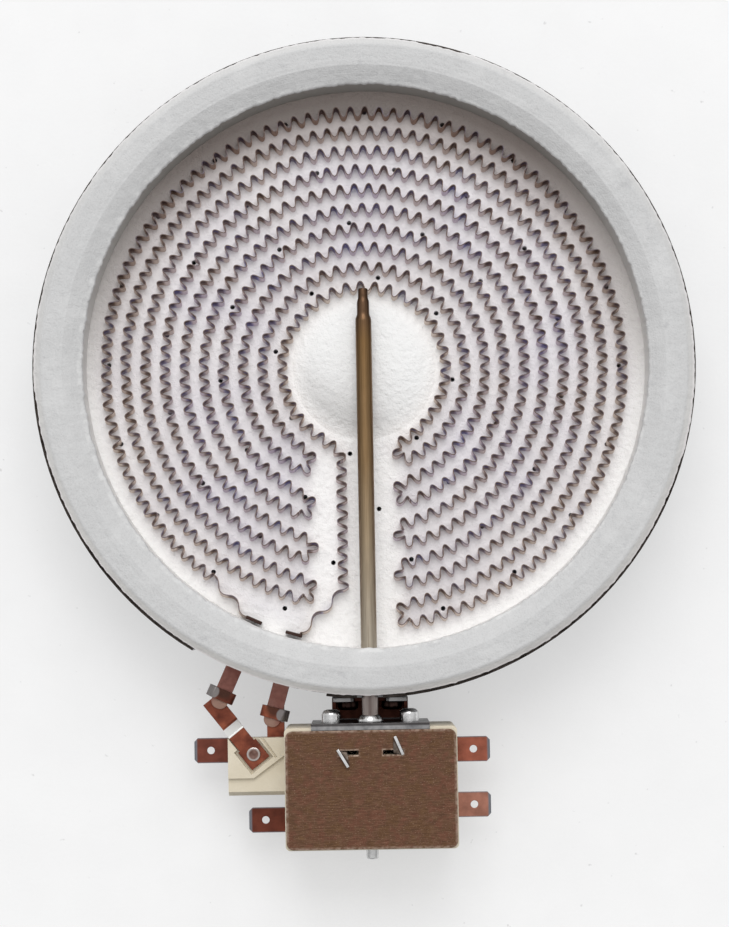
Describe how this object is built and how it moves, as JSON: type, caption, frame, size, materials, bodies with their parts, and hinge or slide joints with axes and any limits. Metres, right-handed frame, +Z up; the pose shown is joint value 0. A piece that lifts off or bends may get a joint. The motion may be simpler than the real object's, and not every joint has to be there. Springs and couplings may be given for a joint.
{
  "type": "radiant hob heating element",
  "caption": "Round radiant heating element: corrugated ribbon on insulation in a steel dish, with a rod thermostat limiter and push-on tab terminals on its rim.",
  "frame": {"origin": "centre of the dish's underside", "axes": "+Z up out of the open side of the dish, -Y towards the limiter"},
  "size_m": [0.165, 0.2046, 0.031],
  "materials": {
    "dish_steel": "thin aluminised sheet, dull",
    "white_insulation": "pressed microporous board, matt",
    "grey_insulation": "moulded vermiculite board, matt",
    "ribbon_alloy": "oxidised heating alloy",
    "copper_brown": "copper-brown oxidised strip",
    "rivet_steel": "set rivet",
    "steatite": "unglazed steatite",
    "mica": "pressed mica sheet",
    "plated_steel": "bright zinc plate",
    "bracket_steel": "rolled sheet",
    "dark_screw": "darkened steel",
    "tube_steel": "drawn heat-tinted steel tube",
    "brass": "turned",
    "silver": "contact silver",
    "rod_ceramic": "fired ceramic",
    "spring_bronze": "rolled spring strip",
    "screw_steel": "turned"
  },
  "bodies": {
    "base": {"dish": "dish_steel", "base_insulation": "white_insulation", "ring_insulation": "grey_insulation", "heating_ribbon": "ribbon_alloy", "lead_strip_a": "copper_brown", "lead_strip_b": "copper_brown", "link_strap_a": "copper_brown", "link_strap_b": "copper_brown", "strap_rivet": "rivet_steel", "neutral_terminal": "copper_brown", "line_terminal": "copper_brown", "signal_fixed_terminal": "copper_brown", "signal_blade_terminal": "copper_brown", "limiter_housing": "steatite", "limiter_cover": "mica", "cover_lugs": "plated_steel", "bracket": "bracket_steel", "dish_screws": "dark_screw", "housing_screws": "plated_steel", "sensor_tube": "tube_steel", "tube_collar": "plated_steel", "calibration_bush": "brass", "limit_fixed_contact": "silver", "signal_fixed_contact": "silver"},
    "push_rod": {"push_rod": "rod_ceramic"},
    "transfer_pin": {"transfer_pin": "rod_ceramic"},
    "limit_blade": {"limit_blade": "spring_bronze", "limit_moving_contact": "silver"},
    "signal_blade": {"signal_blade": "spring_bronze", "signal_moving_contact": "silver"},
    "calibration_screw": {"calibration_screw": "screw_steel"}
  },
  "joints": [
    {"name": "rod_slide", "type": "slide", "parent": "base", "child": "push_rod", "axis": [0, 1, 0], "range_m": [0, 0.0007], "stiffness_N_per_m": 400},
    {"name": "pin_slide", "type": "slide", "parent": "base", "child": "transfer_pin", "axis": [0, 1, 0], "range_m": [0, 0.0007]},
    {"name": "limit_blade_flex", "type": "hinge", "parent": "base", "child": "limit_blade", "pos_m": [-0.016, -0.0985, 0.025], "axis": [0, 0, 1], "range_deg": [0, 2.51]},
    {"name": "signal_blade_flex", "type": "hinge", "parent": "base", "child": "signal_blade", "pos_m": [0.016, -0.1055, 0.025], "axis": [0, 0, -1], "range_deg": [0, 2.51]},
    {"name": "calibration_turn", "type": "hinge", "parent": "base", "child": "calibration_screw", "pos_m": [0, -0.118, 0.025], "axis": [0, 1, 0], "range_deg": [-180, 180]}
  ],
  "couplings": [
    {"joint": "pin_slide", "follows": "rod_slide", "ratio": 1},
    {"joint": "limit_blade_flex", "follows": "rod_slide", "rad_per_m": 62.5},
    {"joint": "signal_blade_flex", "follows": "rod_slide", "rad_per_m": 62.5}
  ]
}
